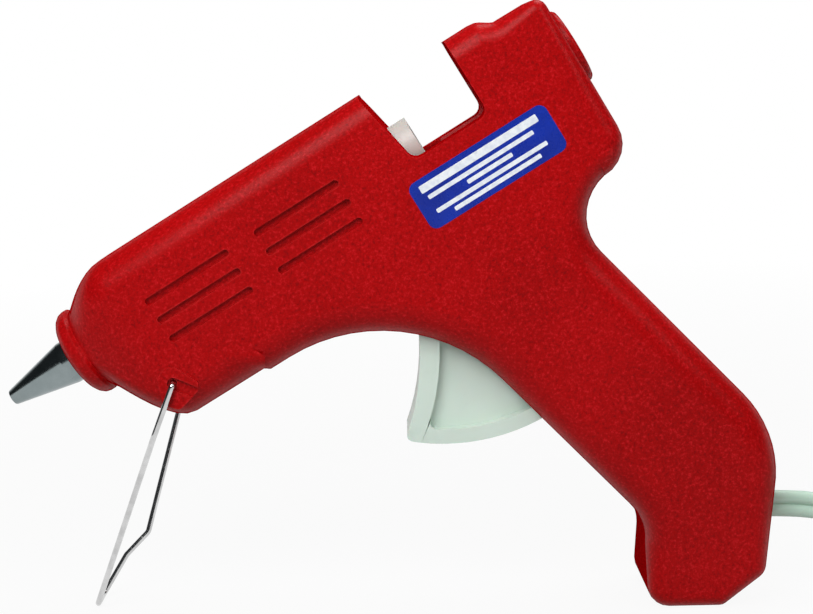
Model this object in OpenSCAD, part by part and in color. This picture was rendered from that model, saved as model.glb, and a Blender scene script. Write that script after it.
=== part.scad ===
// Hot glue applicator: a trigger-fed gun for round glue sticks, at rest on its handle and wire stand.
// Millimetres. The gun is drawn in its own frame: X runs back from the nozzle's tip along the glue stick's
// axis, Z is square to it, and Y is across. at_rest() tilts it nose down on to the base of its handle,
// whose middle is the origin. The near half of the casing lies at -Y, and the far half mirrors it.

/* [Glue stick] */
// Diameter of the glue stick
stick_d = 11.2; // [10.8:0.1:11.6]
// Gap round the stick in its passages
stick_gap = 0.4; // [0.3:0.05:0.5]

/* [Casing] */
// Width over both halves
body_w = 32; // [31:0.5:36]
// Wall thickness
wall = 2.2; // [1.8:0.1:2.6]
// Rounding along the barrel and handle
edge_r = 9; // [7:0.5:9.5]
// Tilt of the barrel at rest, nose down, in degrees
rest_tilt = 31; // [29:0.5:33]

/* [Barrel] */
// Nozzle's tip to the front of the casing
nozzle_out = 20; // [17:0.5:24]
// Radius of the front lip
lip_r = 12; // [11.75:0.25:13]
// Length of the front lip
lip_len = 5.5; // [5:0.25:7]
// Length of the swelling nose behind the lip
nose_len = 15.5; // [14:0.5:18]
// Length of the straight barrel, nose to loading notch
barrel_len = 77; // [74:1:84]
// Height of the barrel's top over the axis
top_h = 18.1; // [17.5:0.1:20]
// Depth of the barrel's underside below the axis
low_h = 27.7; // [27:0.1:30]
// Nose to the step in the underside
belly_at = 21; // [16:1:26]
// Depth of that step
belly_drop = 1; // [0.6:0.1:2]

/* [Loading notch] */
// Length of the notch along its top
notch_len = 26; // [25:0.5:30]
// Depth of its floor below the axis
notch_floor = 2.6; // [2:0.1:3.2]
// Lean of its front wall, top to floor
notch_slant = 4.4; // [3:0.2:5]

/* [Tower] */
// Length of the tower behind the notch
tower_len = 25.8; // [24:0.2:30]
// Length of the raised part of its top
hump_len = 8.8; // [7:0.2:11]
// Run of the slope behind it
hump_run = 4; // [3:0.5:6]
// Drop of that slope
hump_drop = 2.7; // [1:0.1:4]
// Depth of the tower's underside below the axis
tower_low = 31.5; // [30:0.5:34]
// Outer radius of the rear guide bush's collar
collar_r = 10; // [9:0.25:11]
// Thickness of that collar
collar_t = 2; // [1.5:0.1:3]

/* [Handle] */
// Arch corner ahead of the notch
handle_set = 14.5; // [12:0.5:17]
// Depth of the handle, front to back
handle_depth = 41; // [40:0.5:45]
// Rake of the handle from square, in degrees
handle_rake = 13.2; // [11:0.2:15]
// Depth of the handle's base below the axis
handle_drop = 139.1; // [136:0.5:146]
// Base's middle ahead of the line of the handle's front
foot_kick = 6.96; // [6:0.02:8]
// Base's middle to the foot's front
foot_front = 12; // [11:0.2:13]
// Base's middle to the start of the heel
foot_back = 7.4; // [6.6:0.2:9]
// How far back the heel's slope reaches
heel_x = 18.6; // [18:0.1:20]
// Height of the heel's slope
heel_z = 8.3; // [6:0.1:10]
// Lean of the foot's back, in degrees
heel_lean = 8; // [5:0.5:11]
// Radius of the arch over the trigger
arch_r = 44; // [38:1:45]
// Radius of the web for the thumb
web_r = 13.4; // [11:0.2:14]
// Radius of the bend in the handle's back
back_r = 30; // [24:1:34]

/* [Side detail] */
// Length of a vent groove
vent_len = 24.6; // [18:0.2:26]
// Width of a vent groove
vent_w = 1.9; // [1.4:0.1:2.6]
// Depth of a vent groove
vent_deep = 1.2; // [0.8:0.1:1.4]
// Spacing of the grooves
vent_pitch = 5.5; // [4:0.1:6]
// Grooves in a group
vent_rows = 3; // [2:1:3]
// Nose to the first group
vent_at = 5.7; // [4:0.1:9]
// First group to the second
vent_step = 32.4; // [30:0.2:36]
// Length of the label
label_len = 38.3; // [30:0.1:40]
// Height of the label
label_h = 11.9; // [9:0.1:13]
// Thickness of the label
label_t = 0.3; // [0.2:0.05:0.5]

/* [Nozzle and heater] */
// Radius of the nozzle's tip
tip_r = 2.05; // [1.8:0.05:2.4]
// Radius of the nozzle's root
root_r = 5.85; // [5.5:0.05:6.2]
// Radius of the glue's way out
orifice_r = 1; // [0.7:0.1:1.3]
// Outer radius of the melt chamber
chamber_r = 9; // [8.6:0.1:9.2]
// Inlet sleeve to the feed carriage at the end of its stroke
sleeve_gap = 1.9; // [1.5:0.1:2.5]
// Length of the heater tile
tile_len = 24; // [20:1:26]
// Width of the heater tile
tile_w = 11; // [9:0.5:12]
// Thickness of the heater tile
tile_t = 2.5; // [2:0.1:3]
// Thickness of an electrode
electrode_t = 0.5; // [0.4:0.05:0.6]
// Thickness of the insulating film
film_t = 0.3; // [0.2:0.05:0.4]
// Length of the inlet sleeve
sleeve_len = 22; // [18:1:23]

/* [Trigger and feed] */
// Width of the finger pad
trigger_w = 17; // [15:0.5:18]
// Trigger's pivot to its lower edge
trigger_r = 52.7; // [51:0.1:54]
// Trigger's pivot behind the arch corner
pivot_back = 14; // [13:0.5:15]
// Trigger's pivot below the axis
pivot_low = 24; // [23.5:0.1:25]
// Swing of the trigger, in degrees
trigger_swing = 16; // [12:1:18]
// Thickness of the finger pad
pad_t = 5.2; // [4:0.1:6]
// Thickness of the lower rim
rim_t = 3.8; // [3:0.1:5]
// Thickness of the trigger's web
trigger_web = 11; // [9:0.5:12]
// Radius of the trigger's pin
trigger_pin_r = 2; // [1.5:0.1:2.2]
// Outer radius of the feed carriage
carriage_r = 7.2; // [7.1:0.05:7.4]
// Length of the feed carriage
carriage_len = 18; // [17:0.5:19]
// Length of carriage that shows in the notch
carriage_shows = 7.5; // [6.5:0.5:9]
// Radius of the gripper's pin
gripper_pin_r = 1.2; // [1:0.1:1.4]
// Wire of the return spring
spring_wire = 0.8; // [0.6:0.05:0.9]
// Radius of the return spring, middle of its wire
spring_r = 2.3; // [2:0.1:2.6]
// Turns of the return spring
spring_turns = 11; // [8:1:12]

/* [Stand] */
// Diameter of the stand's wire
wire_d = 1.5; // [1.2:0.05:1.8]
// Stand's pivot behind the start of the straight barrel
stand_at = 0.4; // [-1:0.2:3]
// Stand's pivot below the axis
stand_low = 17.6; // [16:0.2:19]
// Lean of the stand ahead of upright, in degrees
stand_lean = 21.5; // [18:0.5:25]
// Swing of the stand as it folds back, in degrees
stand_swing = 75; // [60:1:80]
// Width of the stand's foot
stand_foot = 9; // [7:0.5:14]
// Length of the groove in the pad round its pivot
groove_len = 6.3; // [5:0.1:7]
// Width of that groove
groove_w = 3; // [2.4:0.1:3.4]
// Depth of that groove
groove_deep = 0.9; // [0.5:0.1:1.2]
// Height of the jog in its far leg
jog_z = 14; // [10:0.5:20]
// Depth of that jog
jog_back = 7; // [4:0.2:8]

/* [Cord] */
// Width of the flat cord
cord_w = 7.1; // [6.9:0.05:7.3]
// Thickness of the flat cord
cord_t = 3.56; // [3.3:0.02:3.7]
// Straight run of the put-away hank
hank_run = 64; // [60:1:68]
// Radius of its inner folds, middle of the cord
fold_r = 21.3; // [21.3:0.1:22]
// Spacing of its two columns
hank_pitch = 5; // [4.5:0.1:5.5]
// Thickness of the tie
tie_t = 0.8; // [0.6:0.1:1]
// Width of the tie
tie_w = 6; // [4:0.5:8]
// Width of the plug
plug_w = 24; // [22:0.5:26]
// Thickness of the plug
plug_t = 13; // [12:0.5:14]
// Length of the plug's body
plug_len = 24; // [20:1:28]

/* [Hidden] */
$fn = 64;

// Clearances
fit = 0.05;          // pieces that are pushed together
run = 0.05;          // a pin in its bore
slide = 0.4;         // sliding and swinging faces
over = 1;            // how far a cut runs past a face

// Stations along the axis, back from the nozzle's tip
half_w = body_w / 2;
bore_r = stick_d / 2 + stick_gap;
neck_u = nozzle_out + lip_len;
nose_u = neck_u + nose_len;
notch_u = nose_u + barrel_len;
tower_u = notch_u + notch_len;
rear_u = tower_u + tower_len;
neck_r = lip_r - 1;

// Handle: the line of its front, the base's middle, and points given from that middle as the gun stands
arch = [notch_u - handle_set, -low_h - belly_drop];
rake = tan(handle_rake);
function front_u(v) = arch[0] + rake * (arch[1] - v);
base = [front_u(-handle_drop) - foot_kick, -handle_drop];
function turned(p, a) = [p[0] * cos(a) - p[1] * sin(a), p[0] * sin(a) + p[1] * cos(a)];
function from_base(p) = base + turned(p, -rest_tilt);
function to_base(p) = turned(p - base, rest_tilt);
function crossing(p, d, q, e) = p + d * cross(q - p, e) / cross(d, e);
down_handle = [sin(handle_rake), -cos(handle_rake)];
web = [front_u(-tower_low) + handle_depth / cos(handle_rake), -tower_low];
heel = from_base([heel_x, heel_z]);
toe = from_base([-foot_front, 0]);
back_bend = crossing(web, down_handle, heel, turned([sin(heel_lean), cos(heel_lean)], -rest_tilt));
front_bend = crossing(arch, down_handle, toe, turned([0, 1], -rest_tilt));

// Casing outline, counter-clockwise from the barrel's lower front: point, corner radius, rounding of its
// edge towards the side, steps in the corner, and whether it only shifts square to the barrel when inset
OUTLINE = [
    [[nose_u, -low_h], 0, edge_r, 0, true],
    [[nose_u + belly_at, -low_h], 0.6, edge_r, 1, true],
    [[nose_u + belly_at + belly_drop / 2, arch[1]], 0.9, edge_r, 1, true],
    [arch, arch_r, edge_r, 14, false],
    [front_bend, 14, edge_r, 7, false],
    [toe, 5.5, 4, 5, false],
    [from_base([foot_back, 0]), 3, 4, 2, false],
    [heel, 4, 5, 3, false],
    [back_bend, back_r, edge_r, 9, false],
    [web, web_r, edge_r - 0.5, 10, false],
    [[rear_u, -tower_low], 9, 6, 6, false],
    [[rear_u, top_h - hump_drop - 0.3], 3, 3, 4, false],
    [[tower_u + hump_len + hump_run, top_h - hump_drop], 4, 5, 2, false],
    [[tower_u + hump_len, top_h], 4, 6, 2, false],
    [[nose_u, top_h], 0, edge_r, 0, true]
];

// Feed: carriage at rest, its trunnions, and the trigger's arms, which swing evenly about upright
carriage_end = notch_u + carriage_shows;
carriage_u = carriage_end - carriage_len;
pivot = [arch[0] + pivot_back, -pivot_low];
trunnion_low = 7.5;
trunnion_r = 1.7;
arm = (pivot_low - trunnion_low) / cos(trigger_swing / 2);
trunnion = pivot + arm * [sin(trigger_swing / 2), cos(trigger_swing / 2)];
feed_travel = 2 * arm * sin(trigger_swing / 2);
saddle_w = 7.4;
saddle_low = 11;
arm_in = saddle_w + 0.5;
arm_out = arm_in + 2.5;
gripper = [carriage_u + 5.5, -9];
gripper_w = 2.8;
wing_len = 9.5;
wing_t = 1.2;
wing_w = 10.5;
tail_len = 1.5;

// Melt chamber and heater
seat_u = nozzle_out + 3;
ring_r = 9.6;
ring_t = 4;
chamber_u = seat_u + ring_t;
sleeve_end = carriage_u - feed_travel - sleeve_gap;
sleeve_u = sleeve_end - sleeve_len;
chamber_end = sleeve_u - 1;
spigot_r = 3.5;
inlet_r = 7.6;
inlet_len = 8;
block_u = chamber_u + 7;
block_len = 34;
block_w = 8;
pack_v = -14;
pack_t = tile_t / 2 + electrode_t;
tile_u = block_u + 6;
tab_len = 8;
sleeve_r = 9.6;
bush_r = bore_r + 1.6;

// Screws: places on the gun and in the foot
SCREWS = concat(
    [[nose_u + 5, -low_h + 4.7], [nose_u + 1, top_h - 5.1], [notch_u - 14, top_h - 5.1]],
    [[rear_u - 12, -tower_low + 9.5], web + handle_depth * down_handle + [-9, 0], from_base([1, 8])]
);
boss_r = 3.4;
screw_r = 1.5;
head_r = 2.6;
head_t = 2;
head_deep = 2.4;
screw_end = 9;

// Stand, as the gun stands
stand_pivot = [nose_u + stand_at, -stand_low];
stand_top = to_base(stand_pivot);
wire_r = wire_d / 2;
foot_z = wire_r;
pad_up = 0.8;
leg_gap = 0.5;
leg_y = half_w + pad_up + leg_gap + wire_r;
knee_z = 13;
groove_turn = 55;
pin_r = wire_r + 0.05;
pin_in = 3.4;
leg_run = (stand_top[1] - foot_z) * tan(stand_lean);

// Cord: where it leaves the handle, its clamp, and the route of its free stretches, as the gun stands
exit_z = 23.3;
cord_in = 4;
clamp_x = 8;
clamp_w = 6;
clamp_half = 10.3;
clamp_t = 2.5;
clamp_screw = 7.3;
cord_z = tie_t + 0.3 + cord_w / 2;
layer = cord_w + 0.8;
hank_out = fold_r + hank_pitch;
hank_from = 124;
hank_side = -16.6;
hank_c = [hank_from + hank_run / 2, hank_side + hank_out];
function eased(f) = let (k = max(0, min(1, f))) k * k * (3 - 2 * k);
LEAD = [for (p = [
    [cord_in, exit_z], [14, exit_z], [24, exit_z], [34, 22.5], [44, 20], [54, 16], [64, 11.5], [74, 7.5],
    [81, 5.6], [88, cord_z], [98, cord_z], [112, cord_z], [hank_from, cord_z]
]) [p[0], hank_side * eased((p[0] - 34) / 70), p[1]]];
tail_run = 33;
plug_z = plug_t / 2;

function unit(a) = a / norm(a);
function outward(a, b) = let (d = unit(b - a)) [d[1], -d[0]];
function near(list, i, step) = list[(i + step + len(list)) % len(list)];
function lerp(a, b, f) = a + (b - a) * f;

// A corner moved inwards by t, from the outline's own edges
function moved(c, i, t) =
    let (p = c[i][0], m = outward(near(c, i, -1)[0], p), n = outward(p, near(c, i, 1)[0]))
    c[i][4] ? p - [0, sign(p[1]) * t] : p - t * (m + n) / (1 + m * n);

// The arc of radius r in the corner at b, in that many steps
function corner_arc(a, b, c, r, steps) =
    steps == 0 ? [b] :
    let (
        d = unit(a - b), e = unit(c - b), half = acos(d * e) / 2, turn = 180 - 2 * half,
        middle = b + unit(d + e) * r / sin(half),
        s = b + d * r / tan(half) - middle, t = b + e * r / tan(half) - middle
    )
    [for (k = [0:steps]) middle + (s * sin(turn * (1 - k / steps)) + t * sin(turn * k / steps)) / sin(turn)];

// The outline with its corners rounded, each inset by its own amount: one list of points per corner
function rounded(c, inset) =
    let (q = [for (i = [0:len(c) - 1]) moved(c, i, inset[i])])
    [for (i = [0:len(c) - 1])
        let (hollow = cross(c[i][0] - near(c, i, -1)[0], near(c, i, 1)[0] - c[i][0]) < 0)
        corner_arc(near(q, i, -1), q[i], near(q, i, 1),
            hollow ? c[i][1] + inset[i] : max(c[i][1] - inset[i], 0.3), c[i][3])];

function simple(points, r, steps) = [for (p = points) [p, r, 0, steps, false]];
function path(c) = [for (arc = rounded(c, [for (p = c) 0])) each arc];

// A flat outline cut into triangles: the first corner that holds no other point goes, until three are left
function holds(a, b, c, q) = cross(b - a, q - a) >= 0 && cross(c - b, q - b) >= 0 && cross(a - c, q - c) >= 0;
function is_ear(p, left, i) =
    let (n = len(left), h = left[(i + n - 1) % n], k = left[(i + 1) % n], a = p[h], b = p[left[i]], c = p[k])
    cross(b - a, c - b) > 0.0001
    && len([for (j = left) if (j != h && j != left[i] && j != k && holds(a, b, c, p[j])) j]) == 0;
function first_ear(p, left, i = 0) = i == len(left) - 1 || is_ear(p, left, i) ? i : first_ear(p, left, i + 1);
function triangles(p, left) =
    len(left) == 3 ? [left] :
    let (n = len(left), i = first_ear(p, left))
    concat(
        [[left[(i + n - 1) % n], left[i], left[(i + 1) % n]]],
        triangles(p, [for (j = [0:n - 1]) if (j != i) left[j]])
    );

// Solid through a stack of rings of points, turned right-handed about the way they are stacked. Rings with
// hollow corners lie square to Y.
module skin(rings, hollow_corners = false) {
    n = len(rings[0]);
    m = len(rings);
    sides = [for (k = [0:m - 2]) for (i = [0:n - 1]) let (a = k * n + i, b = k * n + (i + 1) % n)
        each [[a, a + n, b + n], [a, b + n, b]]];
    round_once = [for (i = [0:n - 1]) i];
    ends = [for (r = [rings[0], rings[m - 1]])
        hollow_corners ? triangles([for (p = r) [p[0], p[2]]], round_once) : [round_once]];
    last = [for (f = ends[1]) [for (k = [len(f) - 1:-1:0]) (m - 1) * n + f[k]]];
    polyhedron([for (r = rings) each r], concat(sides, ends[0], last), convexity = 10);
}

// Tube along a path: the section's points turn with the path, from a first sideways direction, and roll
function tangents(p) = [for (i = [0:len(p) - 1]) unit(p[min(i + 1, len(p) - 1)] - p[max(i - 1, 0)])];
function carried(t, n, i = 0) =
    i == len(t) ? [] : let (m = unit(n - (n * t[i]) * t[i])) concat([m], carried(t, m, i + 1));
function tube_rings(p, section, side, roll = 0) =
    let (t = tangents(p), n = carried(t, side))
    [for (i = [0:len(p) - 1]) let (b = cross(t[i], n[i]), a = roll * i / (len(p) - 1))
        [for (s = section) let (q = turned(s, a)) p[i] + q[0] * n[i] + q[1] * b]];
function circle_section(r, sides) =
    [for (i = [0:sides - 1]) r * [cos(360 * i / sides), sin(360 * i / sides)]];
function flat_section(w, t, steps) = [for (e = [0, 1]) for (k = [0:steps])
    let (a = 180 * e - 90 + 180 * k / steps) [(1 - 2 * e) * (w - t) / 2 + t / 2 * cos(a), t / 2 * sin(a)]];

module at_rest() rotate([0, -rest_tilt, 0]) translate([-base[0], 0, -base[1]]) children();
module in_foot() translate([base[0], 0, base[1]]) rotate([0, rest_tilt, 0]) children();
module rod(u0, u1, r) translate([u0, 0, 0]) rotate([0, 90, 0]) cylinder(h = u1 - u0, r = r);
module turned_about_axis(angle = 360)
    rotate([0, 90, 0]) rotate([0, 0, 180]) rotate_extrude(angle = angle) children();
module pin(at, y0, y1, r) translate([at[0], y0, at[1]]) rotate([-90, 0, 0]) cylinder(h = y1 - y0, r = r);
module across(y0, y1) translate([0, y1, 0]) rotate([90, 0, 0]) linear_extrude(y1 - y0) children();
module block(u0, u1, w, v0, v1) translate([u0, -w, v0]) cube([u1 - u0, 2 * w, v1 - v0]);
module slot(length, width) {
    square([length - width, width], center = true);
    for (s = [-1, 1]) translate([s * (length - width) / 2, 0]) circle(d = width);
}

// Near half of the casing, solid: the body's sides curve over to the edges, and the nose swells to meet it
function body_ring(inset, phi, y) =
    let (
        r = [for (c = OUTLINE) max(c[2] - inset, 0.6)],
        arcs = rounded(OUTLINE, [for (k = r) inset + k * (1 - cos(phi))])
    )
    [for (i = [0:len(arcs) - 1]) for (p = arcs[i])
        [p[0], is_undef(y) ? -(half_w - inset - r[i] * (1 - sin(phi))) : y, p[1]]];
module body(steps)
    skin(concat([body_ring(0, 0, 0)], [for (k = [0:steps]) body_ring(0, 90 * k / steps)]), true);
function nose_ring(f, steps) =
    let (
        s = sin(90 * max(f, 0)), u = neck_u + nose_len * f, w = lerp(neck_r, half_w, s),
        top = lerp(neck_r, top_h, s), low = lerp(neck_r, low_h, s), r = lerp(neck_r - 0.4, edge_r, s),
        bend = [for (k = [0:steps]) r * [1 - sin(90 * k / steps), 1 - cos(90 * k / steps)]]
    )
    concat(
        [[u, 0, top]], [for (b = bend) [u, b[0] - w, top - b[1]]],
        [for (k = [steps:-1:0]) [u, bend[k][0] - w, bend[k][1] - low]], [[u, 0, -low]]
    );
NOSE_STEPS = [-0.03, 0.08, 0.18, 0.29, 0.41, 0.54, 0.68, 0.83, 1];
module nose(steps) skin([for (f = NOSE_STEPS) nose_ring(f, steps)]);

// The hollow inside: the body's in steps that follow its rounding, then round the melt chamber in the nose
HOLLOW_STEPS = [20, 50, 90];
module hollow() {
    r = edge_r - wall;
    for (k = [0:len(HOLLOW_STEPS) - 1])
        across(-half_w + wall + r * (1 - sin(HOLLOW_STEPS[k])), over * (k + 1))
            polygon([for (p = body_ring(wall, HOLLOW_STEPS[k])) [p[0], p[2]]]);
    rod(chamber_u, nose_u + over, chamber_r + 0.8);
    block(block_u - 1, nose_u + over, block_w + 1, -20.5, 0);
}
module lip() {
    dome = 3.4;
    turned_about_axis(180) polygon(concat(
        [[root_r, neck_u], [root_r, nozzle_out]],
        [for (a = [0:18:90]) [lerp(root_r + 1, lip_r, sin(a)), nozzle_out + dome * (1 - cos(a))]],
        [[lip_r, neck_u - 1], [lip_r - 1, neck_u]]
    ));
}
module stand_pad() {
    corners = [[-5.2, -3.4], [-2.2, -6.6], [4.2, -5], [5.6, -3.2], [2.6, 3.4], [0, 4.4], [-2.8, 3.2]];
    across(-half_w - pad_up, -half_w + 6) translate(stand_pivot) polygon(path(simple(corners, 1.1, 2)));
}
module pad_groove() across(-half_w - pad_up - over, -half_w - pad_up + groove_deep)
    translate(stand_pivot) rotate(-groove_turn) translate([groove_len / 2, 0])
        slot(groove_len + groove_w, groove_w);
module notch(grow) {
    corners = [
        [notch_u - grow, top_h + 2 * over], [notch_u + notch_slant - grow, -notch_floor - grow],
        [tower_u + grow, -notch_floor - grow], [tower_u + grow, top_h + 2 * over]
    ];
    c = simple(corners, 2.6 + grow, 4);
    across(-half_w - 2 * over, over) polygon(path(c));
}

// What stays in the near half's hollow: ribs, rails, bosses and the bush's walls
module inner_ribs() {
    for (u = [chamber_u + 3, chamber_end - 6]) difference() {
        block(u, u + 2, half_w, -chamber_r - 2, top_h);
        rod(u - over, u + 2 + over, chamber_r + fit);
    }
    for (v = [wing_t + slide, -wing_t - slide - 1.6])
        translate([carriage_u - feed_travel - 1.5, -half_w, v])
            cube([wing_len + feed_travel + 3, half_w - saddle_w - 1, 1.6]);
    pin(pivot, -half_w, -arm_out - 0.3, trigger_pin_r + 2.4);
    for (s = SCREWS) pin(s, -half_w, over, boss_r);
    notch(wall);
}
module clamp_seat() in_foot() translate([clamp_x - 1, -half_w, exit_z - clamp_half])
    cube([clamp_w + 2, half_w - cord_t / 2, 2 * clamp_half]);
spring_end = tower_u - 1;
module spring_post() translate([spring_end, -half_w, -13.5]) cube([3, half_w + 3, 7]);
module cord_hole() in_foot() translate([clamp_x + clamp_w + 2, 0, exit_z]) rotate([90, 0, 90])
    linear_extrude(heel_x) rotate([0, 0, 90]) slot(cord_w + 4 * fit, cord_t + 4 * fit);
module vents() for (g = [0, 1]) for (k = [0:vent_rows - 1])
    translate([nose_u + vent_at + vent_len / 2 + g * vent_step, -half_w + vent_deep, 3 - k * vent_pitch])
        rotate([90, 0, 0]) linear_extrude(vent_deep + over) slot(vent_len, vent_w);

// Trigger's front and lower edge about its pivot, set in by front and low, and its outline grown by g
pad_top = trigger_r * [-0.294, -0.247];
pad_dip = trigger_r * [-0.484, -0.581];
pad_low = trigger_r * [-0.676, -0.736];
back_angle = -87;
function trigger_edge(front, low) =
    let (
        shift = front * unit([0.78, -0.62]), r = trigger_r - low,
        a = atan2(pad_low[1], pad_low[0]) + front * 1.15, corner = r * [cos(a), sin(a)],
        arc = [for (k = [0:12]) let (t = lerp(a + 4, back_angle, k / 12)) r * [cos(t), sin(t)]]
    )
    concat(
        [pad_top + shift],
        corner_arc(pad_top + shift, pad_dip + shift, corner, 1.14 * trigger_r, 6),
        corner_arc(pad_dip + shift, corner, arc[0], 1.5, 3), arc
    );
function trigger_outline(g) = concat([[5, 3], [-4, 3.5]], trigger_edge(-g, -g));
function backwards(list) = [for (i = [len(list) - 1:-1:0]) list[i]];
module trigger_window() across(-trigger_w / 2 - slide - 0.1, over)
    translate(pivot) polygon(trigger_outline(0.6));

module casing_half() difference() {
    union() {
        body(7);
        nose(7);
        lip();
        stand_pad();
    }
    difference() {
        hollow();
        inner_ribs();
        children();
    }
    rod(nozzle_out - over, neck_u, root_r + slide);
    rod(seat_u, chamber_u + 0.5, ring_r + fit);
    notch(0);
    rod(notch_u - wall - over, carriage_end + 2, carriage_r + slide);
    rod(carriage_end, tower_u, bore_r + slide);
    rod(tower_u - over, rear_u + over, bush_r + fit);
    block(notch_u - 2, carriage_end + 5, saddle_w + slide, -saddle_low - slide, 0);
    vents();
    pad_groove();
    pin(stand_pivot, -half_w - 2 * over, -half_w + 2 * wall, pin_r + run);
    trigger_window();
    pin(pivot, -half_w + 2.2, 0, trigger_pin_r + fit);
    cord_hole();
}

module label_shape(g) translate([notch_u + 0.2, -20]) translate([label_len / 2, label_h / 2])
    polygon(path(simple([for (k = [[-1, -1], [1, -1], [1, 1], [-1, 1]])
        [k[0] * (label_len / 2 + g), k[1] * (label_h / 2 + g)]], 2, 4)));

module casing_near() color("firebrick") at_rest() difference() {
    casing_half() {
        clamp_seat();
        spring_post();
    }
    for (s = SCREWS) pin(s, -screw_end - over, over, screw_r + fit);
    across(-half_w - over, -half_w + label_t) label_shape(0.1);
    in_foot() for (s = [-1, 1])
        pin([clamp_x + clamp_w / 2, exit_z + s * clamp_screw], -9.4, 0, 1.2 + fit);
}

module casing_far() color("firebrick") at_rest() mirror([0, 1, 0]) difference() {
    casing_half();
    for (s = SCREWS) {
        pin(s, -half_w, over, screw_r + 0.1);
        pin(s, -half_w - over, -half_w + head_deep, head_r + 0.2);
    }
}

module casing_screws() color("silver") at_rest() for (s = SCREWS) {
    pin(s, -screw_end, half_w - head_deep, screw_r);
    pin(s, half_w - head_deep, half_w - head_deep + head_t, head_r);
}

module nozzle() color("silver") at_rest() turned_about_axis() polygon([
    [orifice_r, 0], [tip_r, 0], [root_r, nozzle_out - 2.6], [root_r, chamber_u],
    [spigot_r + fit, chamber_u], [spigot_r + fit, chamber_u - 13], [orifice_r, chamber_u - 18]
]);

module nose_insulator() color("tan") at_rest() difference() {
    rod(seat_u, chamber_u, ring_r);
    rod(seat_u - over, chamber_u + over, root_r + 0.15);
}

module melt_chamber() color("lightgray") at_rest() difference() {
    union() {
        rod(chamber_u - 12, chamber_u + over, spigot_r);
        rod(chamber_u, chamber_end, chamber_r);
        rod(chamber_end - over, chamber_end + inlet_len, inlet_r);
        block(block_u, block_u + block_len, block_w, pack_v - pack_t - film_t - 2.4, -4);
    }
    turned_about_axis() polygon([
        [0, chamber_u - 13], [2.2, chamber_u - 13], [2.2, chamber_u + 4], [bore_r, chamber_u + 14],
        [bore_r, chamber_end + inlet_len + over], [0, chamber_end + inlet_len + over]
    ]);
    heater_pack(fit, film_t, tile_u - 2, block_u + block_len + over);
}

// Box round the heater's parts: grown by g, with its film, from u0 to u1
module heater_pack(g, film, u0, u1)
    block(u0, u1, tile_w / 2 + film + g, pack_v - pack_t - film - g, pack_v + pack_t + film + g);

module heater_tile() color("dimgray") at_rest()
    block(tile_u, tile_u + tile_len, tile_w / 2, pack_v - tile_t / 2, pack_v + tile_t / 2);

module electrode(side) {
    v = pack_v + side * (tile_t + electrode_t) / 2 - electrode_t / 2;
    at_rest() {
        block(tile_u - 1, block_u + block_len, tile_w / 2, v, v + electrode_t);
        translate([block_u + block_len, side > 0 ? -4.5 : 1, v]) cube([tab_len, 3.5, electrode_t]);
    }
}
module electrode_upper() color("goldenrod") electrode(1);
module electrode_lower() color("goldenrod") electrode(-1);

module heater_film() color("orange") at_rest() difference() {
    heater_pack(0, film_t, tile_u - 2, block_u + block_len - over);
    heater_pack(0, 0, tile_u - 3, block_u + block_len);
}

module inlet_sleeve() color("salmon") at_rest() turned_about_axis() polygon([
    [inlet_r + fit, sleeve_u], [sleeve_r, sleeve_u], [sleeve_r, sleeve_end - 1], [sleeve_r - 1, sleeve_end],
    [bore_r, sleeve_end], [bore_r, chamber_end + inlet_len + 0.3],
    [inlet_r + fit, chamber_end + inlet_len + 0.3]
]);

module sleeve_clamp() color("gray") at_rest() difference() {
    union() {
        rod(sleeve_u + 1.5, sleeve_u + 5.5, sleeve_r + 0.8);
        block(sleeve_u + 1.5, sleeve_u + 5.5, 1.5, sleeve_r, sleeve_r + 3.4);
    }
    rod(sleeve_u, sleeve_u + 7, sleeve_r + fit);
    block(sleeve_u, sleeve_u + 7, 0.5, sleeve_r - over, sleeve_r + 5);
}

module feed_carriage() color("antiquewhite") at_rest() {
    difference() {
        union() {
            rod(carriage_u, carriage_end, carriage_r);
            block(carriage_u + 1.5, carriage_end - 1.5, saddle_w, -saddle_low, -3.4);
            block(carriage_u, carriage_u + wing_len, wing_w, -wing_t, wing_t);
            pin(trunnion, -arm_out, arm_out, trunnion_r);
            block(carriage_end - 2, carriage_end + tail_len, 3, -saddle_low, -bore_r - 0.2);
        }
        rod(carriage_u - over, carriage_end + over, bore_r);
        block(gripper[0] - 4.6, gripper[0] + 6, gripper_w + slide, -saddle_low - over, -bore_r + 1.5);
        pin(gripper, -saddle_w - over, saddle_w + over, gripper_pin_r + fit / 2);
    }
}

module gripper_pin() color("silver") at_rest() pin(gripper, -saddle_w, saddle_w, gripper_pin_r);

module stick_gripper() color("gray") at_rest() difference() {
    across(-gripper_w, gripper_w) translate(gripper) polygon(concat(
        [[-2.4, -6.6], [0.2, -6.6], [2.6, -1], [4.2, 1.6]],
        [for (k = [3:-1:0]) each [[1.4 * k, 3], [1.4 * k - 1.1, 2.2]]],
        [[-2.4, 1.4]]
    ));
    pin(gripper, -gripper_w - over, gripper_w + over, gripper_pin_r + run);
}

module trigger() color("honeydew") at_rest() difference() {
    translate([pivot[0], 0, pivot[1]]) {
        across(-trigger_w / 2, trigger_w / 2)
            polygon(concat(trigger_edge(0, 0), backwards(trigger_edge(pad_t, rim_t))));
        across(-trigger_web / 2, trigger_web / 2) polygon(trigger_outline(-1));
        pin([0, 0], -arm_out, arm_out, trigger_pin_r + 3);
        for (s = [-1, 1]) across(s * (arm_in + arm_out) / 2 - 1.25, s * (arm_in + arm_out) / 2 + 1.25)
            rotate(-trigger_swing / 2) difference() {
                translate([-4, -2]) square([8, arm + 4]);
                translate([-trunnion_r - 0.3, arm - trunnion_r - 0.6]) square([2 * trunnion_r + 0.6, arm]);
            }
    }
    pin(pivot, -arm_out - over, arm_out + over, trigger_pin_r + run);
}

module trigger_pin() color("silver") at_rest()
    pin(pivot, -half_w + 2.3, half_w - 2.3, trigger_pin_r);

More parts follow.
